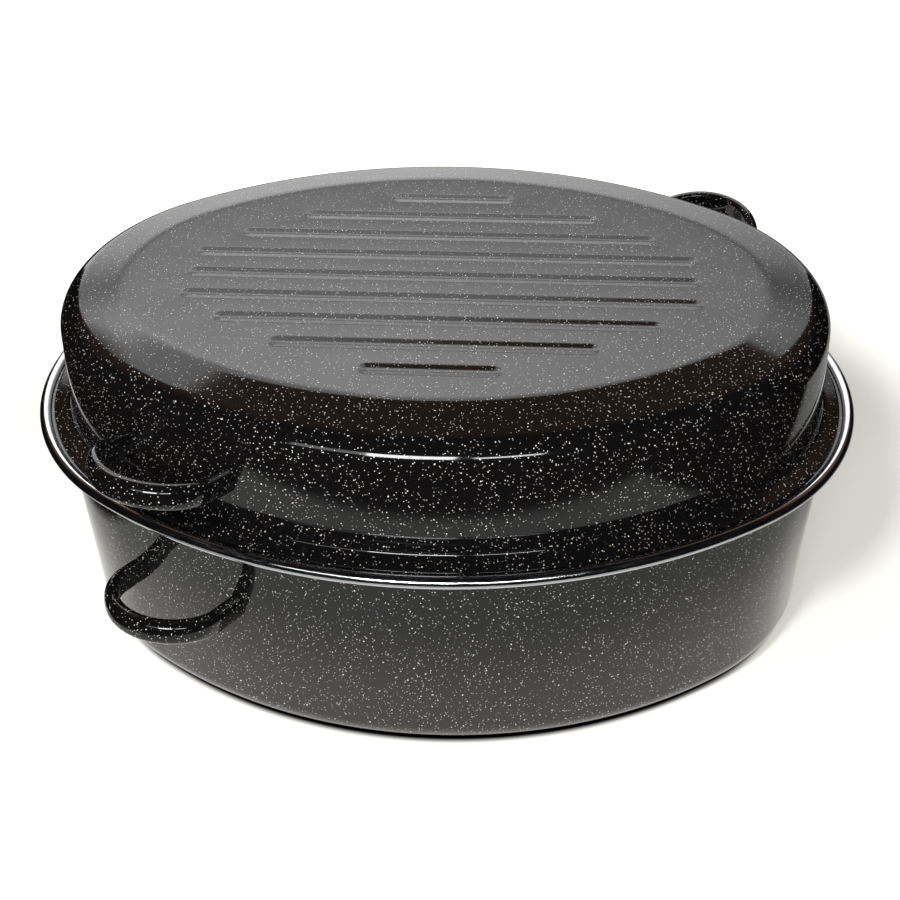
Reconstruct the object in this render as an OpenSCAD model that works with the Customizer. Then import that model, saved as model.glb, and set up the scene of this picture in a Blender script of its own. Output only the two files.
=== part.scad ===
// Oval roasting pan with a deep lid. The lid doubles as a shallow grill pan when it is turned over.
// Pan and lid are steel pressings with a vitreous enamel coat. The pan's edge is wrapped in a
// rolled stainless band, and each pressing carries two strap handles welded to its wall.
// The plan is a four-centre oval: two end arcs and two side arcs that meet with one tangent.
// Every pressing is a solid oval with one profile for its edge, less the solid oval of its hollow.

/* [Plan] */
// Length over the rim band
pan_l = 436; // [424:2:450]
// Width over the rim band
pan_w = 324; // [314:2:334]
// Radius of the two rounded ends, at the outside of the rim band
end_r = 134; // [129:1:139]

/* [Sheet] */
// Thickness of the enamelled sheet
sheet_t = 1.2; // [0.8:0.1:1.6]

/* [Pan] */
// Height from the base to the middle of the rim band
rim_h = 128; // [115:1:145]
// Inset of the wall's top from the outside of the rim band
wall_inset = 12; // [11.5:0.5:13]
// Draft of the pan wall, in degrees
wall_draft = 2.5; // [1:0.5:4]
// Outside radius where the wall turns into the base
base_r = 17; // [12:1:22]
// Radius under the flared edge
flare_r = 3; // [2:0.5:4]

/* [Rim band] */
// Outside diameter of the rolled band
band_d = 6.4; // [5.8:0.2:7]
// Thickness of the band's strip
band_t = 0.5; // [0.4:0.1:0.7]
// Gap between the band's lips and the pan's edge
lip_gap = 0.1; // [0.05:0.05:0.2]
// Gap between the pan's edge and the inside of the band
edge_gap = 0.5; // [0.3:0.1:0.8]

/* [Lid] */
// Height of the lid's flat top above its seat
lid_h = 67.4; // [60:0.2:76]
// Gap between the lid's edge and the rim band
lid_gap = 1.2; // [0.8:0.1:1.8]
// Width of the lid's flange
flange_w = 9.8; // [9:0.1:10.5]
// Radius where the flange turns up into the wall
foot_r = 3; // [2:0.5:4]
// Draft of the lid wall, in degrees
lid_draft = 2; // [1:0.5:3]
// Outside radius of the shoulder
shoulder_r = 14; // [10:1:17]
// Slope of the band between the shoulder and the flat top, in degrees
crown_slope = 10; // [7:0.5:13]
// Inset of the flat top from the outside of the rim band
top_inset = 52; // [48:1:54]
// Radius where the sloped band meets the flat top
crown_r = 30; // [20:2:40]

/* [Grill grooves] */
// Distance between neighbouring grooves
groove_pitch = 21.4; // [19:0.2:22]
// Width of a groove over its rounded lips
groove_w = 11; // [9:0.5:13]
// Depth of a groove
groove_d = 2.4; // [1.6:0.2:3]
// Radius of a groove's lips
groove_lip_r = 2.4; // [1.6:0.2:3]
// Length of the three middle grooves
groove_long = 266; // [240:2:272]
// Length of the grooves beside them
groove_mid = 224; // [200:2:230]
// Length of the last grooves but one
groove_short = 162; // [130:2:166]
// Length of the outermost grooves
groove_end = 70; // [50:2:76]

/* [Handles] */
// Distance between the middles of a handle's legs
handle_span = 61; // [56:1:62]
// Straight length of a leg outside the wall
leg_l = 14; // [12:1:20]
// Radius of the corner between leg and grip, at mid strap
corner_r = 22; // [14:1:24]
// Radius of the bowed grip, at mid strap
grip_r = 32; // [32:1:48]
// Height of the strap
strap_h = 13; // [11:0.5:15]
// Thickness of the strap at its crown
strap_t = 6.8; // [5.6:0.2:7.6]
// Radius of the strap's inner edges
strap_edge_r = 1.6; // [1:0.2:2]
// Direction that a handle faces, in degrees before the pan's end
handle_dir = 62; // [61.5:0.5:70]
// Direction of the lid's right handle, which was welded a little nearer to the end
lid_right_dir = 58; // [56:0.5:70]
// Height of the pan handles below the middle of the rim band
pan_handle_drop = 46; // [38:1:54]
// Upward tilt of the pan handles, in degrees
pan_handle_tilt = 9; // [4:1:12]
// Height of the lid handles above the lid's seat
lid_handle_rise = 30; // [24:1:34]
// Upward tilt of the lid handles, in degrees
lid_handle_tilt = 15; // [6:1:18]
// Gap between a handle's leg and the wall that it is welded to
weld_gap = 0.1; // [0.05:0.05:0.2]

/* [Hidden] */

enamel = [0.10, 0.10, 0.11];
stainless = [0.76, 0.78, 0.80];

// Facets of a full turn of an end arc and of a small round section
turn_fn = 180;
small_fn = 48;

// The largest step of a bend in a profile, in degrees
bend_step = 13;

// Centres of the end arcs and of the side arcs, whose radii run out along one line to the seams
half_l = pan_l / 2;
half_w = pan_w / 2;
end_x = half_l - end_r;
side_y = round(50 * (end_x * end_x / (half_w - end_r) + end_r - half_w)) / 100;
side_r = end_r + norm([end_x, side_y]);

// Heights of the pan's flared edge, the lid's seat on it and the lid's flat top
seat_z = rim_h + sheet_t / 2;
top_z = seat_z + lid_h;
lid_foot = band_d + lid_gap + flange_w;

// Steepness of a groove's side, in degrees, and the least radius of its lips inside the sheet
groove_side = 50;
least_r = 0.2;

// Power of the strap's crown: 1 is an ellipse, and less is squarer
crown_power = 0.8;
crown_step = 15;
edge_step = 30;

// Room past the part on every side of a cutting shape
spare = 8;

// Where the seams of the +X end run out, past the part
seam_runs = ceil(max((end_r + spare) / norm([end_x, side_y]), (half_w + spare) / side_y));
seam_far = [(1 + seam_runs) * end_x, seam_runs * side_y];

// A sheet profile is a list of corners with a bend radius at each
function unit(v) = v / norm(v);
function left_of(v) = [-v[1], v[0]];
function turn(u, v) = atan2(u[0] * v[1] - u[1] * v[0], u * v);

// Points of the bend of radius r at corner p, between the directions u and v
function bend(p, u, v, r) =
    let (a = turn(u, v), n = max(1, ceil(abs(a) / bend_step)), start = p - u * r * tan(abs(a) / 2))
    [for (k = [0 : n]) let (f = abs(a) * k / n)
        start + u * r * sin(f) + left_of(u) * sign(a) * r * (1 - cos(f))];

// The direction of each run of a path
function runs(path) = [for (i = [0 : len(path) - 2]) unit(path[i + 1] - path[i])];

// A path with its inner corners rounded
function rounded(path, radii) =
    let (d = runs(path), last = len(path) - 1)
    [path[0], for (i = [1 : last - 1]) each bend(path[i], d[i - 1], d[i], radii[i - 1]), path[last]];

// The same path moved sideways by t, to the left where t is positive
function moved(path, t) =
    let (d = runs(path), last = len(path) - 1)
    [for (i = [0 : last])
        let (a = left_of(d[max(0, i - 1)]), b = left_of(d[min(i, last - 1)]))
        path[i] + t * (a + b) / (1 + a * b)];

function moved_radii(path, radii, t) =
    let (d = runs(path))
    [for (i = [0 : len(radii) - 1]) radii[i] - t * sign(turn(d[i], d[i + 1]))];

function backwards(list) = [for (i = [len(list) - 1 : -1 : 0]) list[i]];

// Fills a profile from a path along a face of the sheet to the level z
module filled(path, radii, z) {
    line = rounded(path, radii);
    polygon(concat(line, [[line[len(line) - 1][0], z], [line[0][0], z]]));
}

// Moves a profile out to a radius in two steps, which keep more digits of it than one
module out_to(r) {
    near = floor(100 * r) / 100;
    translate([near, 0]) translate([r - near, 0]) children();
}

// What one side arc fills of the plan: out along the seams, and a little past the middle
module side_plan() {
    back = min(spare, side_y / 4);
    polygon([
        [end_x, 0], seam_far, [-seam_far[0], seam_far[1]], [-end_x, 0],
        [-end_x / 2, -back], [end_x / 2, -back]
    ]);
}

// A solid oval with a profile for its edge. In the profile, x = 0 is the outside of the rim band,
// and the special variable $reach says how far in it has to be filled. The discs of the two ends
// lie inside the oval, so that the sides' shares overlap them and each other.
module oval(low, high) {
    side_fn = turn_fn * (1 + 2 * floor(sqrt(side_r / end_r) / 2));
    for (turned = [0, 180]) rotate([0, 0, turned]) {
        translate([end_x, 0, 0]) rotate_extrude($fn = turn_fn)
            translate([end_r, 0]) let ($reach = end_r) children();
        intersection() {
            translate([0, -side_y, 0]) rotate_extrude($fn = side_fn)
                out_to(side_r) let ($reach = side_r - side_y / 2) children();
            translate([0, 0, low]) linear_extrude(high - low) side_plan();
        }
    }
}

// Inset of the pan's wall and of the lid's wall at a height, from the outside of the rim band
function pan_inset(z) = wall_inset + (rim_h - z) * tan(wall_draft);
function lid_inset(z) = lid_foot + (z - seat_z) * tan(lid_draft);

// The pan's corners run along the underside of its edge, down the wall and in under the base
pan_radii = [flare_r, base_r];
function pan_path(edge, reach) =
    let (under = rim_h - sheet_t / 2)
    [[edge, under], [-wall_inset, under], [-pan_inset(0), 0], [-reach, 0]];

module pan_body() {
    top = rim_h + 2 * spare;
    color(enamel) difference() {
        oval(-spare, top) filled(pan_path(-band_t - edge_gap, $reach), pan_radii, top - spare);
        oval(-spare, top + spare) let (path = pan_path(spare, $reach))
            filled(moved(path, -sheet_t), moved_radii(path, pan_radii, -sheet_t), top);
    }
}

// A round bar in an oval ring, with its outside a distance inside the outside of the rim band
module bar(r, inset) {
    low = rim_h - spare;
    high = rim_h + spare;
    middle = inset + r;
    difference() {
        oval(low, high) {
            translate([-middle, rim_h]) circle(r, $fn = small_fn);
            translate([-$reach, rim_h - r]) square([$reach - middle, 2 * r]);
        }
        oval(low, high) difference() {
            translate([-$reach, rim_h - spare / 2]) square([$reach - middle, spare]);
            translate([-middle, rim_h]) circle(r, $fn = small_fn);
        }
    }
}

// The band is a hollow bar with a slot along its inside, which the pan's edge goes into
module pan_rim_band() {
    r = band_d / 2;
    slot = sheet_t + 2 * lip_gap;
    color(stainless) difference() {
        bar(r, 0);
        bar(r - band_t, band_t);
        oval(rim_h - spare, rim_h + spare)
            translate([-$reach, rim_h - slot / 2]) square([$reach - r, slot]);
    }
}

// The lid's corners run from the flange's edge up the wall and over the shoulder to the flat top
lid_radii = [foot_r, shoulder_r, crown_r];
function lid_path(edge, reach) =
    let (
        rise = top_z - seat_z - sheet_t,
        fall = tan(crown_slope),
        run = top_inset - lid_foot,
        up = (rise - run * fall) / (1 - tan(lid_draft) * fall)
    )
    [
        [edge, seat_z + sheet_t], [-lid_foot, seat_z + sheet_t],
        [-lid_foot - up * tan(lid_draft), seat_z + sheet_t + up],
        [-top_inset, top_z], [-reach, top_z]
    ];

// Half of a groove's section, from the middle of its floor out to the face of the sheet. The face
// on the hollow side of the sheet is further out by its thickness.
function groove_half(out) =
    let (
        lean = tan(groove_side / 2),
        lip = max(least_r, groove_lip_r - out),
        edge = groove_w / 2 - groove_lip_r * lean,
        foot = edge - groove_d / tan(groove_side),
        path = [
            [0, -groove_d - out], [foot + out * lean, -groove_d - out],
            [edge + out * lean, -out], [groove_w / 2 + out * lean, -out]
        ]
    )
    rounded(path, [groove_lip_r + out, lip]);

// A groove: its section drawn out, with a half turn of it at both ends, filled up to a height
module groove(length, out, lift) {
    half = groove_half(out);
    wide = half[len(half) - 1][0];
    closed = concat(half, [[wide, lift], [0, lift]]);
    straight = length - groove_w;
    rotate([90, 0, 90]) translate([0, 0, -straight / 2]) linear_extrude(straight) {
        polygon(closed);
        mirror([1, 0]) polygon(closed);
    }
    for (turned = [0, 180])
        rotate([0, 0, turned]) translate([straight / 2, 0, 0])
            rotate([0, 0, -90]) rotate_extrude(angle = 180, $fn = small_fn) polygon(closed);
}

// The lengths of the grooves, from the middle one outwards
groove_lengths = [groove_long, groove_long, groove_mid, groove_short, groove_end];

module grooves(out, lift) {
    last = len(groove_lengths) - 1;
    for (i = [-last : last])
        translate([0, i * groove_pitch, top_z]) groove(groove_lengths[abs(i)], out, lift);
}

module lid_shell() {
    low = seat_z - 3 * spare;
    high = top_z + spare;
    color(enamel) difference() {
        union() {
            difference() {
                oval(low, high) filled(lid_path(-band_d - lid_gap, $reach), lid_radii, seat_z - spare);
                oval(low, high) let (path = lid_path(spare, $reach))
                    filled(moved(path, sheet_t), moved_radii(path, lid_radii, sheet_t), seat_z - 2 * spare);
            }
            grooves(sheet_t, -sheet_t / 2);
        }
        grooves(0, spare);
    }
}

// Section of a handle's strap: flat inside with small corners, crowned outside
function strap_section() =
    let (h = strap_h / 2, r = strap_edge_r, mid = r - strap_t / 2, deep = strap_t - r)
    concat(
        [for (a = [-90 : crown_step : 90])
            [mid + deep * pow(cos(a), crown_power), h * sign(a) * pow(abs(sin(a)), crown_power)]],
        [for (a = [90 + edge_step : edge_step : 180]) [mid + r * cos(a), h - r + r * sin(a)]],
        [for (a = [180 : edge_step : 270 - edge_step]) [mid + r * cos(a), r - h + r * sin(a)]]
    );

// A stretch of the strap turned about a centre, cut to a plan that it shares with its neighbours
module strap_turn(centre, r, plan) {
    intersection() {
        translate(centre) rotate_extrude($fn = turn_fn) translate([r, 0]) polygon(strap_section());
        translate([0, 0, -strap_h]) linear_extrude(2 * strap_h) polygon(plan);
    }
}

// A handle in its own plane: y points away from the wall, and the legs start inside the wall
module strap_loop() {
    half = handle_span / 2;
    swing = [half - corner_r, sqrt(pow(grip_r - corner_r, 2) - pow(half - corner_r, 2))];
    joint = swing / norm(swing);
    corner = [swing[0], leg_l];
    far = ceil((grip_r + strap_t) / joint[1] - norm(swing));
    past = corner + far * joint;
    for (side = [0, 180]) rotate([0, side, 0]) {
        translate([half, leg_l, 0]) rotate([90, 0, 0])
            linear_extrude(leg_l + spare) polygon(strap_section());
        strap_turn(corner, corner_r, [corner, corner + [far, 0], past]);
    }
    strap_turn(corner - swing, grip_r, [corner, past, [-past[0], past[1]], [-corner[0], corner[1]]]);
}

// Puts a handle at height z where the wall faces its way, on an end arc or on a side arc
module on_wall(z, inset, dir, tilt) {
    facing = 180 + dir;
    by_end = dir < atan2(side_y, end_x);
    centre = by_end ? [-end_x, 0, z] : [0, side_y, z];
    r = (by_end ? end_r : side_r) - inset;
    translate(centre + r * [cos(facing), sin(facing), 0])
        rotate([0, 0, facing - 90]) rotate([tilt, 0, 0]) strap_loop();
}

// The legs of both handles are cut off just outside the wall, with the shape of the wall
module pan_handle() {
    z = rim_h - pan_handle_drop;
    low = z - pan_handle_drop / 2;
    color(enamel) difference() {
        on_wall(z, pan_inset(z), handle_dir, pan_handle_tilt);
        oval(low - spare, rim_h + spare)
            polygon([
                [-$reach, low], [weld_gap - pan_inset(low), low],
                [weld_gap - pan_inset(rim_h), rim_h], [-$reach, rim_h]
            ]);
    }
}

module lid_handle(dir) {
    z = seat_z + lid_handle_rise;
    color(enamel) difference() {
        on_wall(z, lid_inset(z), dir, lid_handle_tilt);
        oval(seat_z - spare, top_z + spare)
            polygon([
                [-$reach, seat_z], [weld_gap - lid_inset(seat_z), seat_z],
                [weld_gap - lid_inset(top_z), top_z], [-$reach, top_z]
            ]);
    }
}

module pan_handle_left() { pan_handle(); }
module pan_handle_right() { rotate([0, 0, 180]) pan_handle(); }
module lid_handle_left() { lid_handle(handle_dir); }
module lid_handle_right() { rotate([0, 0, 180]) lid_handle(lid_right_dir); }

pan_body();
pan_rim_band();
pan_handle_left();
pan_handle_right();
lid_shell();
lid_handle_left();
lid_handle_right();
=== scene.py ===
"""Oval roasting pan with its lid, for looks.

Every piece is modelled with Blender's own mesh tools in millimetres of the real pan, laid on the
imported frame, and dressed with a procedural finish. The pan and the lid are sheet profiles spun
round the four arcs of the oval, and the grooves and the strap handles are drawn and spun the same
way. The enamel mirrors its room, so the studio has white paper, a bright screen behind the pan,
windows in front of it and a dark room round them.
"""

import logging
import math
from dataclasses import dataclass
from enum import Enum
from typing import Callable, Iterable, Sequence

import bpy
from mathutils import Matrix, Vector


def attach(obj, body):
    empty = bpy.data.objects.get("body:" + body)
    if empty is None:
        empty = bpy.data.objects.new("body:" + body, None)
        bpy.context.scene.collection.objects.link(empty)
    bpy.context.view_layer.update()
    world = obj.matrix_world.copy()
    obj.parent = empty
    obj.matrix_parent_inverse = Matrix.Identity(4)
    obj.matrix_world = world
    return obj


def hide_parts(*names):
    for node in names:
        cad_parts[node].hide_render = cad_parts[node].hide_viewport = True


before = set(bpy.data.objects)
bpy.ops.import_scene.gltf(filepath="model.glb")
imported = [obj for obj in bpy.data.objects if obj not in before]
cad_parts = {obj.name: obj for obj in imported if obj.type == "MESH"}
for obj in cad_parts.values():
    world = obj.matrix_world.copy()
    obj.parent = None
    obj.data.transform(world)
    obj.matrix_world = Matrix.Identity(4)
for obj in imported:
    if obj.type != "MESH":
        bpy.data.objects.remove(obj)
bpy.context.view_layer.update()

LOG = logging.getLogger("roasting_pan")
MM = 0.001
# Angles in degrees: faces that meet below the first are shaded smooth, edges above the second rounded
SMOOTH_ANGLE = 35
SHARP_ANGLE = 40
Point = tuple[float, float]
Triple = tuple[float, float, float]


class Slot(Enum):
    """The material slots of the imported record."""

    ENAMEL = "enamel"
    STAINLESS = "stainless"


class End(Enum):
    """Which end of the pan a handle is at, as a turn about the upright axis in degrees."""

    LEFT = 0.0
    RIGHT = 180.0


def linear(hex_colour: str) -> tuple[float, float, float, float]:
    """Turns an sRGB hex colour into linear light.

    Args:
        hex_colour: Six hex digits, such as "c8c8ca".

    Returns:
        Linear red, green and blue, and an alpha of 1.
    """
    parts = [int(hex_colour[i:i + 2], 16) / 255 for i in (0, 2, 4)]
    rgb = [p / 12.92 if p <= 0.04045 else ((p + 0.055) / 1.055) ** 2.4 for p in parts]
    return (rgb[0], rgb[1], rgb[2], 1.0)


# Shapes of profiles

def rounded(corners: Sequence[Point], radii: Sequence[float], step: float = 4.0) -> list[Point]:
    """Rounds the inner corners of a profile with finely stepped bends.

    Args:
        corners: The corners of the profile, in millimetres.
        radii: The bend radius of each inner corner.
        step: The largest turn between two points of a bend, in degrees.

    Returns:
        The points of the profile from end to end.
    """
    points = [corners[0]]
    for before, corner, after, radius in zip(corners, corners[1:], corners[2:], radii):
        u = Vector((corner[0] - before[0], corner[1] - before[1])).normalized()
        v = Vector((after[0] - corner[0], after[1] - corner[1])).normalized()
        turn = math.atan2(u.x * v.y - u.y * v.x, u.dot(v))
        side = math.copysign(1.0, turn)
        start = Vector(corner) - u * radius * math.tan(abs(turn) / 2)
        left = Vector((-u.y, u.x)) * side
        steps = max(2, math.ceil(math.degrees(abs(turn)) / step))
        for k in range(steps + 1):
            a = abs(turn) * k / steps
            p = start + u * radius * math.sin(a) + left * radius * (1 - math.cos(a))
            points.append((p.x, p.y))
    points.append(corners[-1])
    return points


def braced(points: Sequence[Point], gap: float = 1.2) -> list[Point]:
    """Adds a point close to each end of every long run, so that shading stays flat along it.

    Args:
        points: A profile, in millimetres.
        gap: Distance of the added points from the ends of the run.

    Returns:
        The profile with the added points.
    """
    out = [points[0]]
    for a, b in zip(points, points[1:]):
        run = Vector((b[0] - a[0], b[1] - a[1]))
        if run.length > 4 * gap:
            for share in (gap / run.length, 1 - gap / run.length):
                out.append((a[0] + run.x * share, a[1] + run.y * share))
        out.append(b)
    return out


# Blender's tools

def only(obj: bpy.types.Object) -> None:
    """Makes obj the only selected object and the active one.

    Args:
        obj: The object to work on.
    """
    if bpy.context.object and bpy.context.object.mode != "OBJECT":
        bpy.ops.object.mode_set(mode="OBJECT")
    bpy.ops.object.select_all(action="DESELECT")
    obj.select_set(True)
    bpy.context.view_layer.objects.active = obj


def edit(obj: bpy.types.Object) -> None:
    """Goes into edit mode on obj alone.

    Args:
        obj: The object to edit.
    """
    only(obj)
    bpy.ops.object.mode_set(mode="EDIT")


def pick_faces(obj: bpy.types.Object, test: Callable[[Vector], bool]) -> None:
    """Selects the faces of obj whose corners all pass a test, in edit mode.

    Args:
        obj: The object in edit mode.
        test: Says of a corner's place, in metres, whether it is wanted.
    """
    bpy.ops.mesh.select_mode(type="FACE")
    bpy.ops.mesh.select_all(action="DESELECT")
    bpy.ops.object.mode_set(mode="OBJECT")
    wanted = [test(v.co) for v in obj.data.vertices]
    for face in obj.data.polygons:
        face.select = all(wanted[i] for i in face.vertices)
    bpy.ops.object.mode_set(mode="EDIT")


def pick_open_edges(obj: bpy.types.Object, test: Callable[[Vector], bool]) -> None:
    """Selects the open edges of obj whose two ends pass a test, in edit mode.

    Args:
        obj: The object in edit mode.
        test: Says of an end's place, in metres, whether it is wanted.
    """
    bpy.ops.mesh.select_mode(type="EDGE")
    bpy.ops.mesh.select_all(action="DESELECT")
    bpy.ops.mesh.select_non_manifold(extend=False, use_wire=False, use_boundary=True,
                                     use_multi_face=False, use_non_contiguous=False,
                                     use_verts=False)
    bpy.ops.object.mode_set(mode="OBJECT")
    verts = obj.data.vertices
    for e in obj.data.edges:
        e.select = e.select and all(test(verts[i].co) for i in e.vertices)
    bpy.ops.object.mode_set(mode="EDIT")


def draw_line(name: str, points: Sequence[Vector]) -> bpy.types.Object:
    """Draws a line by extruding one vertex from point to point, and leaves all of it selected.

    Args:
        name: Name of the new object.
        points: The line's points, in metres.

    Returns:
        The object, in edit mode.
    """
    if bpy.context.object and bpy.context.object.mode != "OBJECT":
        bpy.ops.object.mode_set(mode="OBJECT")
    bpy.ops.object.select_all(action="DESELECT")
    bpy.ops.mesh.primitive_plane_add(size=MM)
    obj = bpy.context.object
    obj.name = name
    obj.data.name = name
    bpy.ops.object.mode_set(mode="EDIT")
    bpy.ops.mesh.select_mode(type="VERT")
    bpy.ops.mesh.select_all(action="SELECT")
    bpy.ops.mesh.merge(type="CENTER")
    bpy.ops.transform.translate(value=points[0])
    for a, b in zip(points, points[1:]):
        bpy.ops.mesh.extrude_vertices_move(TRANSFORM_OT_translate={"value": b - a})
    bpy.ops.mesh.select_all(action="SELECT")
    return obj


def spin(centre: Point, degrees: float, steps: int) -> None:
    """Spins what is selected about an upright axis, anticlockwise from above, in edit mode.

    The tool turns clockwise for a positive angle, so the angle is given with its sign changed.

    Args:
        centre: Place of the axis, in millimetres.
        degrees: How far to spin.
        steps: Number of steps.
    """
    bpy.ops.mesh.spin(steps=steps, angle=-math.radians(degrees), axis=(0, 0, 1),
                      center=(centre[0] * MM, centre[1] * MM, 0))


def push(step: Vector) -> None:
    """Extrudes the selected edges by a step, in edit mode.

    Args:
        step: The move, in metres.
    """
    bpy.ops.mesh.extrude_edges_move(TRANSFORM_OT_translate={"value": step})


def weld(distance: float = 2e-6) -> None:
    """Merges the doubles of the whole mesh and makes its normals agree, in edit mode.

    Args:
        distance: Vertices closer than this are merged, in metres.
    """
    bpy.ops.mesh.select_mode(type="VERT")
    bpy.ops.mesh.select_all(action="SELECT")
    bpy.ops.mesh.remove_doubles(threshold=distance)
    bpy.ops.mesh.normals_make_consistent(inside=False)


def face_out(obj: bpy.types.Object, below: float) -> None:
    """Turns the skin of an open shell over if its lowest or highest faces look inwards.

    Args:
        obj: The object in edit mode, whose widest face is its flat floor or top.
        below: -1 if that face has to look down, 1 if up.
    """
    bpy.ops.object.mode_set(mode="OBJECT")
    widest = max(obj.data.polygons, key=lambda p: p.area)
    wrong = widest.normal.z * below < 0
    bpy.ops.object.mode_set(mode="EDIT")
    if wrong:
        bpy.ops.mesh.select_all(action="SELECT")
        bpy.ops.mesh.flip_normals()


def thicken(obj: bpy.types.Object, thickness: float, edge: float, segments: int = 3) -> None:
    """Gives a skin its sheet's thickness inwards and rounds its open edges.

    Args:
        obj: The object, in any mode.
        thickness: Thickness of the sheet, in millimetres.
        edge: Radius of the edges, in millimetres.
        segments: Segments of each rounded edge.
    """
    only(obj)
    solid = obj.modifiers.new("sheet", "SOLIDIFY")
    solid.thickness = thickness * MM
    solid.offset = -1.0
    solid.use_even_offset = True
    bpy.ops.object.modifier_apply(modifier=solid.name)
    round_edges(obj, edge, segments)


def round_edges(obj: bpy.types.Object, radius: float, segments: int = 3) -> None:
    """Rounds the sharp edges of a piece.

    Args:
        obj: The object, in object mode.
        radius: Radius, in millimetres.
        segments: Segments of each rounded edge.
    """
    bevel = obj.modifiers.new("edge", "BEVEL")
    bevel.width = radius * MM
    bevel.segments = segments
    bevel.limit_method = "ANGLE"
    bevel.angle_limit = math.radians(SHARP_ANGLE)
    only(obj)
    bpy.ops.object.modifier_apply(modifier=bevel.name)


def finish_piece(obj: bpy.types.Object, slot: Slot, *nodes: str) -> bpy.types.Object:
    """Shades a piece smooth and puts it on the frame in place of its CAD nodes.

    Args:
        obj: The piece.
        slot: Its material slot in the record; not used.
        nodes: The CAD nodes that it stands for.

    Returns:
        The piece.
    """
    only(obj)
    bpy.ops.object.shade_smooth_by_angle(angle=math.radians(SMOOTH_ANGLE))
    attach(obj, "root")
    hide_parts(*nodes)
    LOG.info("%s: %d faces", obj.name, len(obj.data.polygons))
    return obj


def join(first: bpy.types.Object, others: Iterable[bpy.types.Object]) -> bpy.types.Object:
    """Joins objects into the first one.

    Args:
        first: The object that the others become part of.
        others: The others.

    Returns:
        The joined object.
    """
    only(first)
    for o in others:
        o.select_set(True)
    bpy.ops.object.join()
    return first


# Finishes

def add_node(tree: bpy.types.NodeTree, kind: str, links: dict | None = None, **settings) -> bpy.types.Node:
    """Adds a node with its settings and links.

    Args:
        tree: The node tree.
        kind: The node's type, such as "ShaderNodeMath".
        links: Input names or numbers, each with a value or with an output socket to link.
        settings: Properties of the node.

    Returns:
        The node.
    """
    node = tree.nodes.new(kind)
    for name, value in settings.items():
        setattr(node, name, value)
    for key, value in (links or {}).items():
        socket = node.inputs[key]
        if isinstance(value, bpy.types.NodeSocket):
            tree.links.new(value, socket)
        else:
            socket.default_value = value
    return node


def new_material(name: str) -> tuple[bpy.types.Material, bpy.types.NodeTree]:
    """Makes a material with an empty node tree.

    Args:
        name: Name of the real material.

    Returns:
        The material and its tree.
    """
    material = bpy.data.materials.new(name)
    material.use_nodes = True
    material.node_tree.nodes.clear()
    return material, material.node_tree


@dataclass(frozen=True)
class SpeckledEnamel:
    """Black vitreous enamel with white specks, sprayed and fired on steel.

    The glass coat gives hard, clear reflections that wander a little where it has flowed, and
    the specks are drops of white glaze of 0.3 to 0.8 mm that the top coat has drawn round.
    """

    ground: str = "0d0c0c"
    speck: str = "f2f0ea"
    roughness: float = 0.07
    ior: float = 1.53
    fine_spacing: float = 1.4
    fine_radius: float = 0.25
    coarse_spacing: float = 3.0
    coarse_radius: float = 0.38
    smallest: float = 0.6
    small_share: float = 0.15
    soft_rim: float = 0.1
    flow_width: float = 38.0
    flow_height: float = 0.05

    def specks(self, tree: bpy.types.NodeTree, place: bpy.types.NodeSocket, spacing: float,
               radius: float) -> bpy.types.NodeSocket:
        """Drops of one size range, one in each cell of a loose grid.

        Args:
            tree: The node tree.
            place: Coordinates, in metres.
            spacing: Size of a cell, in millimetres.
            radius: Largest radius of a drop, in millimetres.

        Returns:
            A mask of the drops.
        """
        cells = add_node(tree, "ShaderNodeTexVoronoi",
                         {"Vector": place, "Scale": 1 / (spacing * MM), "Randomness": 1.0},
                         feature="F1", voronoi_dimensions="3D")
        pick_one = add_node(tree, "ShaderNodeSeparateColor", {"Color": cells.outputs["Color"]})
        size = add_node(tree, "ShaderNodeMapRange",
                        {"Value": pick_one.outputs[0], "From Min": self.small_share, "From Max": 1.0,
                         "To Min": self.smallest * radius / spacing, "To Max": radius / spacing})
        rest = add_node(tree, "ShaderNodeMath", {0: size.outputs[0], 1: cells.outputs["Distance"]},
                        operation="SUBTRACT")
        mask = add_node(tree, "ShaderNodeMapRange",
                        {"Value": rest.outputs[0], "From Min": 0.0,
                         "From Max": self.soft_rim * radius / spacing, "To Min": 0.0, "To Max": 1.0})
        return mask.outputs[0]

    def build(self) -> bpy.types.Material:
        """Makes the material.

        Returns:
            The material.
        """
        material, tree = new_material("black_speckled_vitreous_enamel")
        place = add_node(tree, "ShaderNodeTexCoord").outputs["Object"]
        fine = self.specks(tree, place, self.fine_spacing, self.fine_radius)
        coarse = self.specks(tree, place, self.coarse_spacing, self.coarse_radius)
        mask = add_node(tree, "ShaderNodeMath", {0: fine, 1: coarse}, operation="MAXIMUM").outputs[0]
        colour = add_node(tree, "ShaderNodeMix",
                          {0: mask, 6: linear(self.ground), 7: linear(self.speck)}, data_type="RGBA")
        flow = add_node(tree, "ShaderNodeTexNoise",
                        {"Vector": place, "Scale": 1 / (self.flow_width * MM), "Detail": 2.0,
                         "Roughness": 0.45})
        bump = add_node(tree, "ShaderNodeBump",
                        {"Height": flow.outputs[0], "Distance": self.flow_height * MM, "Strength": 1.0})
        shader = add_node(tree, "ShaderNodeBsdfPrincipled",
                          {"Base Color": colour.outputs[2], "Roughness": self.roughness,
                           "IOR": self.ior, "Normal": bump.outputs[0]})
        add_node(tree, "ShaderNodeOutputMaterial", {"Surface": shader.outputs[0]})
        return material


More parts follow.
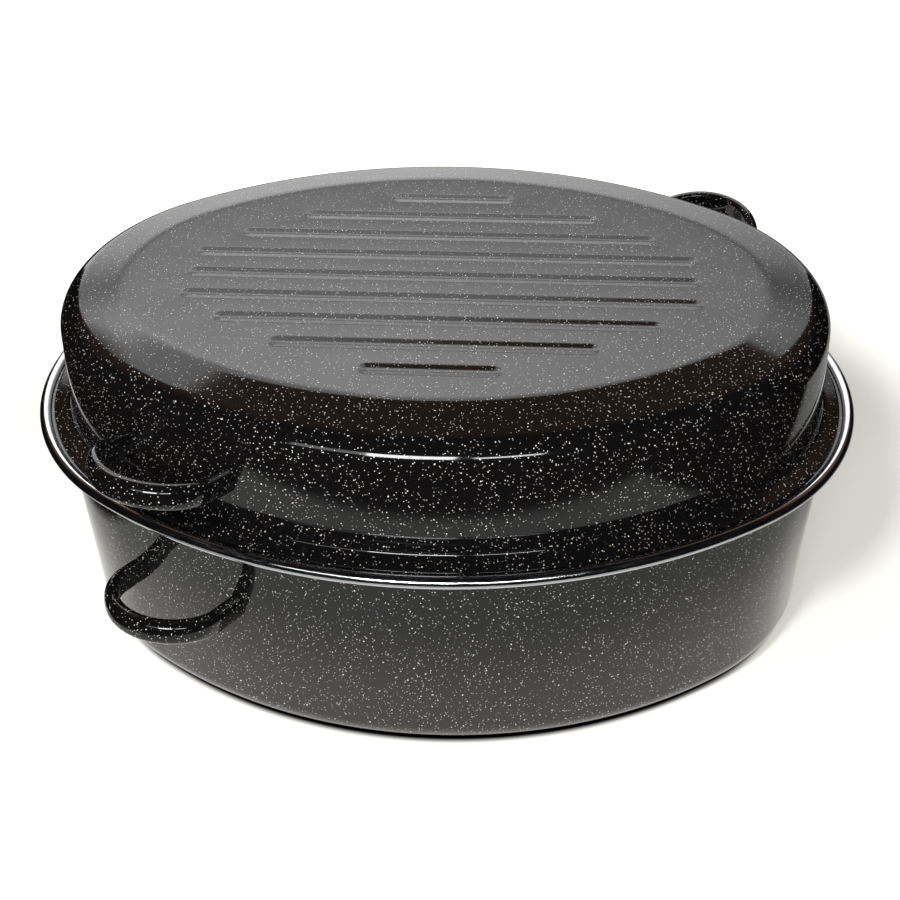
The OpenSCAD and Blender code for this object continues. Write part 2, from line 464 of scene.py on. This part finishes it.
@dataclass(frozen=True)
class PolishedStainless:
    """Rolled stainless strip, polished and a little scuffed.

    The roll gives a hard mirror along its length, and the fine scuffs of use break its highlight
    into short dashes.
    """

    colour: str = "cfd1d4"
    roughness: float = 0.12
    scuff_width: float = 1.1
    scuff_stretch: float = 0.12
    scuff_height: float = 0.02

    def build(self) -> bpy.types.Material:
        """Makes the material.

        Returns:
            The material.
        """
        material, tree = new_material("polished_stainless_steel")
        place = add_node(tree, "ShaderNodeTexCoord").outputs["Object"]
        stretch = add_node(tree, "ShaderNodeMapping",
                           {"Vector": place, "Scale": (self.scuff_stretch, self.scuff_stretch, 1.0)})
        scuffs = add_node(tree, "ShaderNodeTexNoise",
                          {"Vector": stretch.outputs[0], "Scale": 1 / (self.scuff_width * MM),
                           "Detail": 3.0, "Roughness": 0.6})
        rough = add_node(tree, "ShaderNodeMapRange",
                         {"Value": scuffs.outputs[0], "From Min": 0.3, "From Max": 0.7,
                          "To Min": self.roughness * 0.5, "To Max": self.roughness * 2.0})
        bump = add_node(tree, "ShaderNodeBump",
                        {"Height": scuffs.outputs[0], "Distance": self.scuff_height * MM,
                         "Strength": 0.6})
        shader = add_node(tree, "ShaderNodeBsdfPrincipled",
                          {"Base Color": linear(self.colour), "Metallic": 1.0,
                           "Roughness": rough.outputs[0], "Normal": bump.outputs[0]})
        add_node(tree, "ShaderNodeOutputMaterial", {"Surface": shader.outputs[0]})
        return material


# The pan's own shapes

@dataclass(frozen=True)
class Oval:
    """The four-centre oval of the rim, in millimetres: two end arcs and two side arcs."""

    end_x: float = 84.0
    end_r: float = 134.0
    side_y: float = 112.0
    side_r: float = 274.0
    end_steps: int = 34
    side_steps: int = 48

    @property
    def seam(self) -> float:
        """Angle of the seam between an end arc and a side arc, in degrees."""
        return math.degrees(math.atan2(self.side_y, self.end_x))

    def carry(self, name: str, profile: Sequence[Point]) -> bpy.types.Object:
        """Draws a profile at the +X end and spins it right round the oval.

        Args:
            name: Name of the piece.
            profile: Points (x from the outside of the rim, outwards; z), in millimetres.

        Returns:
            The skin, in edit mode, with its doubles merged.
        """
        outside = self.end_x + self.end_r
        obj = draw_line(name, [Vector(((outside + x) * MM, 0, z * MM)) for x, z in profile])
        self.turn_round()
        return obj

    def turn_round(self) -> None:
        """Spins what is selected at the +X end right round the oval, in edit mode."""
        side = 180 - 2 * self.seam
        spin((self.end_x, 0), self.seam, self.end_steps)
        spin((0, -self.side_y), side, self.side_steps)
        spin((-self.end_x, 0), 2 * self.seam, 2 * self.end_steps)
        spin((0, self.side_y), side, self.side_steps)
        spin((self.end_x, 0), self.seam, self.end_steps)
        weld()

    def foot(self, facing: float, inset: float) -> Vector:
        """Point of the wall that faces a direction, on a side arc.

        Args:
            facing: Direction, in degrees.
            inset: How far the wall is inside the rim, in millimetres.

        Returns:
            The point at height 0, in metres.
        """
        centre = Vector((0, self.side_y if facing > 180 else -self.side_y))
        a = math.radians(facing)
        p = centre + (self.side_r - inset) * Vector((math.cos(a), math.sin(a)))
        return Vector((p.x, p.y, 0)) * MM


@dataclass
class PanBody:
    """The deep pan: a pressed sheet with a flat base, a drafted wall and a flared edge."""

    oval: Oval
    sheet: float = 1.2
    rim: float = 128.0
    wall_inset: float = 12.0
    draft: float = 2.5
    base_r: float = 17.0
    flare_r: float = 3.0
    edge: float = 1.0
    edge_r: float = 0.3
    floor_inset: float = 60.0
    handle_z: float = 82.0
    handle_tilt: float = 9.0
    handle_facing: tuple[float, ...] = (242.0, 242.0)

    @property
    def lean(self) -> float:
        """How far the wall leans inwards as it rises, in degrees."""
        return -self.draft

    def inset(self, z: float) -> float:
        """How far the wall is inside the rim at height z, in millimetres."""
        return self.wall_inset + (self.rim - z) * math.tan(math.radians(self.draft))

    def build(self) -> bpy.types.Object:
        """Spins the outside of the sheet, closes its base and thickens it.

        Returns:
            The piece.
        """
        under = self.rim - self.sheet / 2
        corners = [(-self.edge, under), (-self.wall_inset, under), (-self.inset(0), 0),
                   (-self.floor_inset, 0)]
        obj = self.oval.carry("pan_shell", braced(rounded(corners, [self.flare_r, self.base_r])))
        pick_open_edges(obj, lambda co: co.z < 1 * MM)
        bpy.ops.mesh.edge_face_add()
        weld()
        face_out(obj, -1)
        thicken(obj, self.sheet, self.edge_r)
        return finish_piece(obj, Slot.ENAMEL, "pan_body")


@dataclass
class RimBand:
    """The stainless band: a strip rolled round the pan's edge into a hollow bead."""

    oval: Oval
    diameter: float = 6.4
    strip: float = 0.5
    height: float = 128.0
    slot: float = 1.4
    steps: int = 48

    def section(self) -> list[Point]:
        """Outline of the rolled strip, open towards the pan's edge.

        Returns:
            The closed outline's points, in millimetres.
        """
        points = []
        for radius, sign in ((self.diameter / 2, 1), (self.diameter / 2 - self.strip, -1)):
            gap = math.asin(self.slot / 2 / radius)
            for k in range(self.steps + 1):
                a = (math.pi - gap) * (1 - 2 * k / self.steps) * sign
                points.append((-self.diameter / 2 + radius * math.cos(a),
                               self.height + radius * math.sin(a)))
        return points

    def build(self) -> bpy.types.Object:
        """Spins the strip's outline right round the oval.

        Returns:
            The piece.
        """
        outline = self.section()
        obj = self.oval.carry("rim_bead", outline + outline[:1])
        bpy.ops.object.mode_set(mode="OBJECT")
        return finish_piece(obj, Slot.STAINLESS, "pan_rim_band")


@dataclass
class Groove:
    """One pressed groove of the lid's flat top, a shallow stadium with long sides, in millimetres."""

    y: float
    length: float
    width: float = 11.0
    floor: float = 1.0
    depth: float = 0.52
    bend: float = 0.2
    steps: int = 18
    end_steps: int = 28

    def rise(self, share: float) -> float:
        """Height of the side as a share of the depth: a straight slope with a bend at each end.

        Args:
            share: How far up the side, from 0 at the floor to 1 at the top.

        Returns:
            The height, from 0 to 1.
        """
        near = min(share, 1 - share)
        if near >= self.bend:
            return (share - self.bend / 2) / (1 - self.bend)
        curve = max(near, 0.0) ** 2 / (2 * self.bend * (1 - self.bend))
        return curve if share < 0.5 else 1 - curve

    def half_section(self) -> list[Point]:
        """From the flat beside the groove down to the middle of its floor.

        Returns:
            Points (distance from the middle line, height over the top), in millimetres.
        """
        points = []
        for k in range(self.steps + 1):
            away = (1 - k / self.steps) * self.width / 2
            share = (2 * away - self.floor) / (self.width - self.floor)
            points.append((away, -self.depth * (1 - self.rise(max(share, 0.0)))))
        return points

    def build(self, top: float) -> bpy.types.Object:
        """Sweeps the half section round the stadium: a half turn, a run, a half turn and a run.

        Args:
            top: Height of the flat top, in millimetres.

        Returns:
            The groove's skin, in object mode.
        """
        half = (self.length - self.width) / 2
        obj = draw_line("groove", [Vector((half, self.y - d, top + z)) * MM
                                   for d, z in self.half_section()])
        spin((half, self.y), 180, self.end_steps)
        push(Vector((-2 * half * MM, 0, 0)))
        spin((-half, self.y), 180, self.end_steps)
        push(Vector((2 * half * MM, 0, 0)))
        weld()
        bpy.ops.object.mode_set(mode="OBJECT")
        return obj


@dataclass
class LidShell:
    """The deep lid: a faintly coned flange, wall, shoulder, sloped band and grooved flat top."""

    oval: Oval
    sheet: float = 1.2
    seat: float = 128.6
    height: float = 67.4
    edge_inset: float = 7.6
    foot_inset: float = 17.4
    foot_r: float = 3.0
    flange_rise: float = 1.85
    draft: float = 2.0
    shoulder_r: float = 14.0
    slope: float = 10.0
    top_inset: float = 52.0
    crown_r: float = 30.0
    field_inset: float = 56.5
    pitch: float = 21.4
    lengths: tuple[float, ...] = (266.0, 266.0, 224.0, 162.0, 70.0)
    bend_step: float = 3.5
    edge_r: float = 0.45
    edge_segments: int = 4
    handle_z: float = 158.6
    handle_tilt: float = 15.0
    handle_facing: tuple[float, ...] = (242.0, 238.0)

    @property
    def lean(self) -> float:
        """How far the wall leans inwards as it rises, in degrees."""
        return self.draft

    @property
    def top(self) -> float:
        """Height of the flat top, in millimetres."""
        return self.seat + self.height

    def inset(self, z: float) -> float:
        """How far the lid's wall is inside the rim at height z, in millimetres."""
        return self.foot_inset + (z - self.seat) * math.tan(math.radians(self.draft))

    def profile(self) -> list[Point]:
        """The outside of the lid from the flange's edge up to the field of grooves.

        Returns:
            The profile's points, in millimetres.
        """
        low = self.seat + self.sheet
        fall = math.tan(math.radians(self.slope))
        draw_in = math.tan(math.radians(self.draft))
        up = (self.top - low - (self.top_inset - self.foot_inset) * fall) / (1 - draw_in * fall)
        rise = self.flange_rise
        corners = [(-self.edge_inset, low), (-self.foot_inset - rise * draw_in, low + rise),
                   (-self.foot_inset - up * draw_in, low + up), (-self.top_inset, self.top),
                   (-self.field_inset, self.top)]
        radii = [self.foot_r, self.shoulder_r, self.crown_r]
        return braced(rounded(corners, radii, self.bend_step))

    def build(self) -> bpy.types.Object:
        """Spins the outside, presses the grooves into the top and thickens the sheet.

        Returns:
            The piece.
        """
        obj = self.oval.carry("lid_shell_pressed", self.profile())
        bpy.ops.object.mode_set(mode="OBJECT")
        last = len(self.lengths) - 1
        grooves = [Groove(i * self.pitch, self.lengths[abs(i)]).build(self.top)
                   for i in range(-last, last + 1)]
        join(obj, grooves)
        edit(obj)
        pick_open_edges(obj, lambda co: co.z > (self.top - 0.01) * MM)
        bpy.ops.mesh.fill(use_beauty=True)
        weld()
        face_out(obj, 1)
        thicken(obj, self.sheet, self.edge_r, self.edge_segments)
        return finish_piece(obj, Slot.ENAMEL, "lid_shell")


@dataclass
class StrapHandle:
    """A strap bent into a bow, flat inside and crowned outside, with its legs on the wall."""

    name: str
    node: str
    end: End
    foot: Vector
    wall_r: float
    lean: float
    tilt: float
    facing: float
    half_span: float = 30.5
    leg: float = 14.0
    corner_r: float = 22.0
    grip_r: float = 32.0
    height: float = 13.0
    thick: float = 6.8
    edge_r: float = 1.6
    crown_power: float = 0.8
    crown_steps: int = 32
    corner_steps: int = 6
    bend_steps: int = 20
    grip_steps: int = 36
    root: float = 8.0
    sheet: float = 1.2

    @property
    def corner(self) -> Point:
        """Centre of the bend between the right leg and the grip."""
        return self.half_span - self.corner_r, self.leg

    @property
    def grip_y(self) -> float:
        """How far from the wall the centre of the bowed grip is."""
        return self.leg - math.sqrt((self.grip_r - self.corner_r) ** 2 - self.corner[0] ** 2)

    def section(self) -> list[Point]:
        """The strap's outline, crowned outside and flat with rounded corners inside.

        Returns:
            Points (outwards from mid strap, up), in millimetres.
        """
        half, r = self.height / 2, self.edge_r
        mid, deep = r - self.thick / 2, self.thick - r
        points = []
        for k in range(self.crown_steps + 1):
            a = math.radians(-90 + 180 * k / self.crown_steps)
            c, s = abs(math.cos(a)), math.sin(a)
            points.append((mid + deep * c ** self.crown_power,
                           half * math.copysign(abs(s) ** self.crown_power, s)))
        for start, rise, first in ((90, half - r, 1), (180, r - half, 0)):
            for k in range(first, first + self.corner_steps):
                a = math.radians(start + 90 * k / self.corner_steps)
                points.append((mid + r * math.cos(a), rise + r * math.sin(a)))
        return points

    def place(self) -> Matrix:
        """Puts the handle's own frame, with y away from the wall, in its place on the pan.

        Returns:
            The move from the handle's frame to the pan's, at the left end.
        """
        turn = Matrix.Rotation(math.radians(self.facing - 90), 4, "Z")
        tilt = Matrix.Rotation(math.radians(self.tilt), 4, "X")
        return Matrix.Translation(self.foot) @ turn @ tilt

    def build(self) -> bpy.types.Object:
        """Sweeps the strap up one leg, round the grip and down the other leg.

        Returns:
            The piece.
        """
        outline = self.section()
        line = [Vector((self.half_span + u, -self.root, w)) * MM for u, w in outline]
        obj = draw_line(self.name, line + line[:1])
        bend = math.degrees(math.atan2(self.corner[1] - self.grip_y, self.corner[0]))
        push(Vector((0, (self.root + self.leg) * MM, 0)))
        spin(self.corner, bend, self.bend_steps)
        spin((0, self.grip_y), 180 - 2 * bend, self.grip_steps)
        spin((-self.corner[0], self.corner[1]), bend, self.bend_steps)
        push(Vector((0, -(self.root + self.leg) * MM, 0)))
        weld()
        bpy.ops.object.mode_set(mode="OBJECT")
        only(obj)
        obj.matrix_world = self.place()
        bpy.ops.object.transform_apply(location=True, rotation=True, scale=True)
        self.cut_legs(obj)
        if self.end is End.RIGHT:
            only(obj)
            obj.rotation_euler = (0, 0, math.radians(self.end.value))
            bpy.ops.object.transform_apply(location=False, rotation=True, scale=False)
        return finish_piece(obj, Slot.ENAMEL, self.node)

    def cut_legs(self, obj: bpy.types.Object) -> None:
        """Cuts both legs off in the middle of the wall's sheet.

        Args:
            obj: The handle in its place at the left end.
        """
        place = self.place()
        middle = place.translation
        turn = math.radians(self.facing)
        axis = middle - Vector((math.cos(turn), math.sin(turn), 0)) * self.wall_r * MM
        for side in (1, -1):
            a = turn - math.asin(side * self.half_span / self.wall_r)
            out = Vector((math.cos(a), math.sin(a), 0))
            across = place.to_3x3() @ Vector((side, 0, 0))
            normal = out + Vector((0, 0, math.tan(math.radians(self.lean))))
            edit(obj)
            pick_faces(obj, lambda co: (co - middle).dot(across) > 1 * MM)
            bpy.ops.mesh.bisect(plane_co=axis + out * (self.wall_r - self.sheet / 2) * MM,
                                plane_no=normal.normalized(), use_fill=True, clear_inner=True)
            bpy.ops.object.mode_set(mode="OBJECT")


# The studio

@dataclass(frozen=True)
class Lamp:
    """A rectangular lamp aimed at the pan: angles in degrees, sizes in metres, power in watts."""

    name: str
    azimuth: float
    height: float
    wide: float
    high: float
    power: float
    mirrored: bool = True
    away: float = 2.0
    aim: float = 0.12

    def hang(self) -> None:
        """Hangs the lamp in its direction from the middle of the pan."""
        data = bpy.data.lights.new(self.name, "AREA")
        data.shape = "RECTANGLE"
        data.size, data.size_y = self.wide, self.high
        data.energy = self.power
        obj = bpy.data.objects.new(self.name, data)
        bpy.context.scene.collection.objects.link(obj)
        up, turn = math.radians(self.height), math.radians(self.azimuth)
        way = Vector((math.cos(up) * math.cos(turn), math.cos(up) * math.sin(turn), math.sin(up)))
        place = way * self.away + Vector((0, 0, self.aim))
        obj.matrix_world = (Matrix.Translation(place)
                            @ (-way).to_track_quat("-Z", "Y").to_matrix().to_4x4())
        obj.visible_glossy = self.mirrored


@dataclass(frozen=True)
class Edge:
    """A soft straight edge: its far side lies beyond a plane with this normal and offset."""

    normal: Triple
    offset: float = 0.0
    soft: float = 0.006

    def beyond(self, tree: bpy.types.NodeTree, place: bpy.types.NodeSocket) -> bpy.types.NodeSocket:
        """Mask of what lies beyond the edge.

        Args:
            tree: The node tree.
            place: A place, in metres, or a direction.

        Returns:
            The mask, 1 beyond the edge.
        """
        far = add_node(tree, "ShaderNodeVectorMath", {0: place, 1: self.normal},
                       operation="DOT_PRODUCT")
        side = add_node(tree, "ShaderNodeMapRange",
                        {"Value": far.outputs["Value"], "From Min": self.offset - self.soft,
                         "From Max": self.offset + self.soft})
        return side.outputs[0]


def product(tree: bpy.types.NodeTree, *masks: bpy.types.NodeSocket) -> bpy.types.NodeSocket:
    """Multiplies masks and levels.

    Args:
        tree: The node tree.
        masks: The masks and levels.

    Returns:
        Their product.
    """
    result = masks[0]
    for mask in masks[1:]:
        result = add_node(tree, "ShaderNodeMath", {0: result, 1: mask}, operation="MULTIPLY").outputs[0]
    return result


def seen_rays(tree: bpy.types.NodeTree) -> tuple[bpy.types.NodeSocket, bpy.types.NodeSocket]:
    """Tells the rays by which a surface is seen from those that only carry its light.

    Args:
        tree: The node tree.

    Returns:
        Masks of the camera's rays and of mirrored rays.
    """
    path = add_node(tree, "ShaderNodeLightPath")
    mirrored = add_node(tree, "ShaderNodeMath",
                        {0: path.outputs["Is Glossy Ray"], 1: path.outputs["Is Transmission Ray"]},
                        operation="MAXIMUM")
    return path.outputs["Is Camera Ray"], mirrored.outputs[0]


@dataclass(frozen=True)
class Paper:
    """White paper below the pan, endless to the eye and a sheet on a dark table in reflections.

    Lengths are in metres. The glow whitens the paper; in mirrored rays it is a painted glow near the
    pan only, which paints a bright band low on the pan's wall, and there the paper is also painted
    darker. Under the pan's rounded foot its colour is painted black as a painted contact shadow, and
    its sheet ends at the front on a bow.
    """

    oval: Oval
    tone: str = "f4f4f2"
    glow: str = "fffaf0"
    table: str = "15100e"
    radius: float = 6.0
    # Painted contact shadow: the paper's colour is painted black under the pan's foot, fading out between
    # these distances outside the rim's oval
    foot: Point = (-0.0245, -0.0200)
    near_glow: float = 0.32
    far_glow: float = 1.0
    glow_reach: Point = (0.11, 0.32)
    # Painted glow: in reflections the paper glows only within mirrored_reach of the rim, which paints a
    # bright band low on the pan's wall
    mirrored_glow: float = 0.85
    mirrored_reach: float = 0.075
    # Painted shade: in reflections the paper is mixed this far toward black, so it shows darker there than
    # to the eye
    painted_shade_in_reflections: float = 0.35
    front_bow: float = 0.88
    front: Point = (-0.362, -0.350)
    sides: tuple[Edge, ...] = (Edge((-0.948, 0.318, 0.0), -0.362), Edge((0.9986, -0.0526, 0.0), -0.274))

    def outside(self, tree: bpy.types.NodeTree, place: bpy.types.NodeSocket) -> bpy.types.NodeSocket:
        """How far a place on the floor is outside the oval of the rim, seen from above.

        Args:
            tree: The node tree.
            place: Coordinates, in metres.

        Returns:
            The distance in metres, below zero inside the oval.
        """
        oval = self.oval
        corner = add_node(tree, "ShaderNodeVectorMath", {0: place}, operation="ABSOLUTE").outputs[0]
        across = math.hypot(oval.end_x, oval.side_y)
        seam = (oval.side_y / across, -oval.end_x / across, 0.0)
        at_end = Edge(seam, oval.end_x * MM * seam[0], 1e-5).beyond(tree, corner)
        centre = add_node(tree, "ShaderNodeMix",
                          {0: at_end, 4: (0, -oval.side_y * MM, 0), 5: (oval.end_x * MM, 0, 0)},
                          data_type="VECTOR")
        radius = add_node(tree, "ShaderNodeMix",
                          {0: at_end, 2: oval.side_r * MM, 3: oval.end_r * MM}, data_type="FLOAT")
        reach = add_node(tree, "ShaderNodeVectorMath", {0: corner, 1: centre.outputs[1]},
                         operation="DISTANCE")
        return add_node(tree, "ShaderNodeMath", {0: reach.outputs["Value"], 1: radius.outputs[0]},
                        operation="SUBTRACT").outputs[0]

    def sheet(self, tree: bpy.types.NodeTree, place: bpy.types.NodeSocket) -> bpy.types.NodeSocket:
        """Mask of the sheet of paper that reflections show.

        Args:
            tree: The node tree.
            place: Coordinates, in metres.

        Returns:
            The mask, 1 on the sheet.
        """
        split = add_node(tree, "ShaderNodeSeparateXYZ", {0: place})
        bow = add_node(tree, "ShaderNodeMath", {0: split.outputs[0], 1: split.outputs[0]},
                       operation="MULTIPLY")
        bow = add_node(tree, "ShaderNodeMath",
                       {0: bow.outputs[0], 1: -self.front_bow, 2: split.outputs[1]},
                       operation="MULTIPLY_ADD")
        front = add_node(tree, "ShaderNodeMapRange",
                         {"Value": bow.outputs[0], "From Min": self.front[0],
                          "From Max": self.front[1]})
        return product(tree, front.outputs[0], *(side.beyond(tree, place) for side in self.sides))

    def material(self) -> bpy.types.Material:
        """Makes the paper's material.

        Returns:
            The material.
        """
        material, tree = new_material("white_paper_floor")
        camera, mirrored = seen_rays(tree)
        place = add_node(tree, "ShaderNodeTexCoord").outputs["Object"]
        outside = self.outside(tree, place)
        # Painted contact shadow mask: 0 under the pan's foot, where the colour is painted black and the
        # glow is cut, 1 clear of it
        clear = add_node(tree, "ShaderNodeMapRange",
                         {"Value": outside, "From Min": self.foot[0], "From Max": self.foot[1]},
                         interpolation_type="SMOOTHSTEP").outputs[0]
        far = add_node(tree, "ShaderNodeMapRange",
                       {"Value": outside, "From Min": self.glow_reach[0],
                        "From Max": self.glow_reach[1], "To Min": self.near_glow,
                        "To Max": self.far_glow}, interpolation_type="SMOOTHSTEP")
        # Painted glow seen in reflections, strongest at the rim and gone beyond its reach
        near = add_node(tree, "ShaderNodeMapRange",
                        {"Value": outside, "From Min": 0.0, "From Max": self.mirrored_reach,
                         "To Min": self.mirrored_glow, "To Max": 0.0},
                        interpolation_type="SMOOTHSTEP")
        strength = add_node(tree, "ShaderNodeMix",
                            {0: mirrored, 2: far.outputs[0], 3: near.outputs[0]}, data_type="FLOAT")
        seen = add_node(tree, "ShaderNodeMath", {0: camera, 1: mirrored},
                        operation="MAXIMUM").outputs[0]
        # The paper's colour, painted black under the pan's foot as a painted contact shadow
        tone = add_node(tree, "ShaderNodeMix", {0: clear, 6: (0, 0, 0, 1), 7: linear(self.tone)},
                        data_type="RGBA")
        matt = add_node(tree, "ShaderNodeBsdfDiffuse", {"Color": tone.outputs[2]})
        glow = add_node(tree, "ShaderNodeEmission",
                        {"Color": linear(self.glow),
                         "Strength": product(tree, seen, clear, strength.outputs[0])})
        paper = add_node(tree, "ShaderNodeAddShader", {0: matt.outputs[0], 1: glow.outputs[0]})
        # Painted shade in reflections: the paper darkened toward black for mirrored rays only
        shade = add_node(tree, "ShaderNodeMath", {0: mirrored, 1: self.painted_shade_in_reflections},
                         operation="MULTIPLY")
        black = add_node(tree, "ShaderNodeEmission", {"Color": (0, 0, 0, 1), "Strength": 0.0})
        paper = add_node(tree, "ShaderNodeMixShader",
                         {0: shade.outputs[0], 1: paper.outputs[0], 2: black.outputs[0]})
        off_paper = add_node(tree, "ShaderNodeMath", {0: 1.0, 1: self.sheet(tree, place)},
                             operation="SUBTRACT")
        table = add_node(tree, "ShaderNodeEmission", {"Color": linear(self.table), "Strength": 1.0})
        mix = add_node(tree, "ShaderNodeMixShader",
                       {0: product(tree, mirrored, off_paper.outputs[0]), 1: paper.outputs[0],
                        2: table.outputs[0]})
        add_node(tree, "ShaderNodeOutputMaterial", {"Surface": mix.outputs[0]})
        return material

    def lay(self) -> None:
        """Lays the paper."""
        bpy.ops.object.select_all(action="DESELECT")
        bpy.ops.mesh.primitive_circle_add(vertices=96, radius=self.radius, fill_type="NGON",
                                          location=(0, 0, 0))
        obj = bpy.context.object
        obj.name = "studio_floor"
        obj.data.materials.append(self.material())


@dataclass(frozen=True)
class Room:
    """The room: white to the eye, and in reflections a bright screen behind in a dark room.

    Heights are those of a direction's z. The screen is brightest just under its brim and pale
    again low down, and the room is warm above and behind the screen and nearly black elsewhere.
    """

    screen: tuple[Edge, ...] = (Edge((-0.906, 0.423, 0.0)), Edge((0.843, 0.537, 0.0)),
                                Edge((-0.217, 0.709, -0.671)))
    middle_level: float = 1.0
    high_level: float = 2.9
    high: Point = (0.40, 0.60)
    low_extra: float = 0.8
    low: Point = (0.28, 0.44)
    brim_level: float = 0.58
    brim: Point = (0.60, 0.68)
    right_level: float = 0.52
    right: Point = (-0.10, 0.36)
    warm: str = "735b4c"
    black: str = "0b0c10"
    behind: Point = (0.20, 0.50)
    above: Point = (0.35, 0.65)
    fill: float = 0.22

    def screen_light(self, tree: bpy.types.NodeTree,
                     split: bpy.types.Node) -> bpy.types.NodeSocket:
        """How bright the screen is in each direction.

        Args:
            tree: The node tree.
            split: The direction's x, y and z.

        Returns:
            The level, where 1 is white.
        """
        high = add_node(tree, "ShaderNodeMapRange",
                        {"Value": split.outputs[2], "From Min": self.high[0],
                         "From Max": self.high[1], "To Min": self.middle_level,
                         "To Max": self.high_level}, interpolation_type="SMOOTHSTEP")
        low = add_node(tree, "ShaderNodeMapRange",
                       {"Value": split.outputs[2], "From Min": self.low[0],
                        "From Max": self.low[1], "To Min": self.low_extra, "To Max": 0.0},
                       interpolation_type="SMOOTHSTEP")
        level = add_node(tree, "ShaderNodeMath", {0: high.outputs[0], 1: low.outputs[0]},
                         operation="ADD")
        side = add_node(tree, "ShaderNodeMapRange",
                        {"Value": split.outputs[0], "From Min": self.right[0],
                         "From Max": self.right[1], "To Min": 1.0, "To Max": self.right_level})
        brim = add_node(tree, "ShaderNodeMapRange",
                        {"Value": split.outputs[2], "From Min": self.brim[0],
                         "From Max": self.brim[1], "To Min": 1.0, "To Max": self.brim_level})
        return product(tree, level.outputs[0], side.outputs[0], brim.outputs[0])

    def walls(self, tree: bpy.types.NodeTree, split: bpy.types.Node) -> bpy.types.NodeSocket:
        """Colour of the dark room in each direction.

        Args:
            tree: The node tree.
            split: The direction's x, y and z.

        Returns:
            The colour.
        """
        behind = add_node(tree, "ShaderNodeMapRange",
                          {"Value": split.outputs[1], "From Min": self.behind[0],
                           "From Max": self.behind[1]})
        above = add_node(tree, "ShaderNodeMapRange",
                         {"Value": split.outputs[2], "From Min": self.above[0],
                          "From Max": self.above[1]})
        tone = add_node(tree, "ShaderNodeMix",
                        {0: product(tree, behind.outputs[0], above.outputs[0]),
                         6: linear(self.black), 7: linear(self.warm)}, data_type="RGBA")
        return tone.outputs[2]

    def build(self) -> None:
        """Makes the room the scene's world."""
        world = bpy.data.worlds.new("room")
        bpy.context.scene.world = world
        world.use_nodes = True
        tree = world.node_tree
        tree.nodes.clear()
        camera, mirrored = seen_rays(tree)
        way = add_node(tree, "ShaderNodeTexCoord").outputs["Generated"]
        split = add_node(tree, "ShaderNodeSeparateXYZ", {0: way})
        dark = add_node(tree, "ShaderNodeBackground",
                        {"Color": self.walls(tree, split), "Strength": 1.0})
        pale = add_node(tree, "ShaderNodeBackground",
                        {"Color": (1, 1, 1, 1), "Strength": self.screen_light(tree, split)})
        on_screen = product(tree, *(edge.beyond(tree, way) for edge in self.screen))
        room = add_node(tree, "ShaderNodeMixShader",
                        {0: on_screen, 1: dark.outputs[0], 2: pale.outputs[0]})
        soft = add_node(tree, "ShaderNodeBackground", {"Color": (1, 1, 1, 1), "Strength": self.fill})
        white = add_node(tree, "ShaderNodeBackground", {"Color": (1, 1, 1, 1), "Strength": 1.0})
        mix = add_node(tree, "ShaderNodeMixShader",
                       {0: mirrored, 1: soft.outputs[0], 2: room.outputs[0]})
        mix = add_node(tree, "ShaderNodeMixShader", {0: camera, 1: mix.outputs[0], 2: white.outputs[0]})
        add_node(tree, "ShaderNodeOutputWorld", {"Surface": mix.outputs[0]})


@dataclass(frozen=True)
class Studio:
    """The paper, the room, the lamps and the camera that took the photograph."""

    oval: Oval
    lens: float = 60.34
    sensor: float = 36.0
    place: Triple = (0.05157, -0.67184, 0.59394)
    pitch: float = 37.12
    yaw: float = 4.168
    roll: float = -0.806
    lamps: tuple[Lamp, ...] = (
        Lamp("key_lamp", -114.4, 47.0, 0.25, 0.25, 24.0, mirrored=False),
        Lamp("window", -97.0, 27.5, 0.64, 0.34, 15.0),
        Lamp("window_left_pane", -115.5, 29.0, 0.64, 0.30, 1.6),
        Lamp("window_right_pane", -74.5, 26.0, 0.50, 0.16, 3.8),
    )

    def camera(self) -> None:
        """Sets the camera where the photograph was taken from."""
        data = bpy.data.cameras.new("camera")
        data.lens = self.lens
        data.sensor_width = self.sensor
        data.sensor_fit = "HORIZONTAL"
        data.clip_start = 0.01
        obj = bpy.data.objects.new("camera", data)
        bpy.context.scene.collection.objects.link(obj)
        obj.matrix_world = (
            Matrix.Translation(self.place)
            @ Matrix.Rotation(math.radians(self.yaw), 4, "Z")
            @ Matrix.Rotation(math.radians(90 - self.pitch), 4, "X")
            @ Matrix.Rotation(math.radians(self.roll), 4, "Z")
        )
        bpy.context.scene.camera = obj

    def build(self) -> None:
        """Sets up the camera, paper, room and lamps."""
        self.camera()
        Paper(self.oval).lay()
        Room().build()
        for lamp in self.lamps:
            lamp.hang()
        bpy.context.scene.view_settings.view_transform = "Standard"


def dress(pieces: Iterable[bpy.types.Object], material: bpy.types.Material) -> None:
    """Gives pieces their only material.

    Args:
        pieces: The pieces.
        material: The material.
    """
    for piece in pieces:
        piece.data.materials.clear()
        piece.data.materials.append(material)


def main() -> None:
    """Builds and dresses every piece."""
    logging.basicConfig(level=logging.INFO, format="%(name)s: %(message)s")
    oval = Oval()
    Studio(oval).build()
    pan = PanBody(oval)
    lid = LidShell(oval)
    enamelled = [pan.build(), lid.build()]
    bright = [RimBand(oval).build()]
    for kind, part in (("pan", pan), ("lid", lid)):
        inset = part.inset(part.handle_z)
        for end, facing in zip(End, part.handle_facing):
            word = end.name.lower()
            foot = oval.foot(facing, inset) + Vector((0, 0, part.handle_z * MM))
            handle = StrapHandle(f"{kind}_strap_{word}", f"{kind}_handle_{word}", end, foot,
                                 oval.side_r - inset, part.lean, part.handle_tilt, facing)
            enamelled.append(handle.build())
    dress(enamelled, SpeckledEnamel().build())
    dress(bright, PolishedStainless().build())


if __name__ == "__main__":
    main()
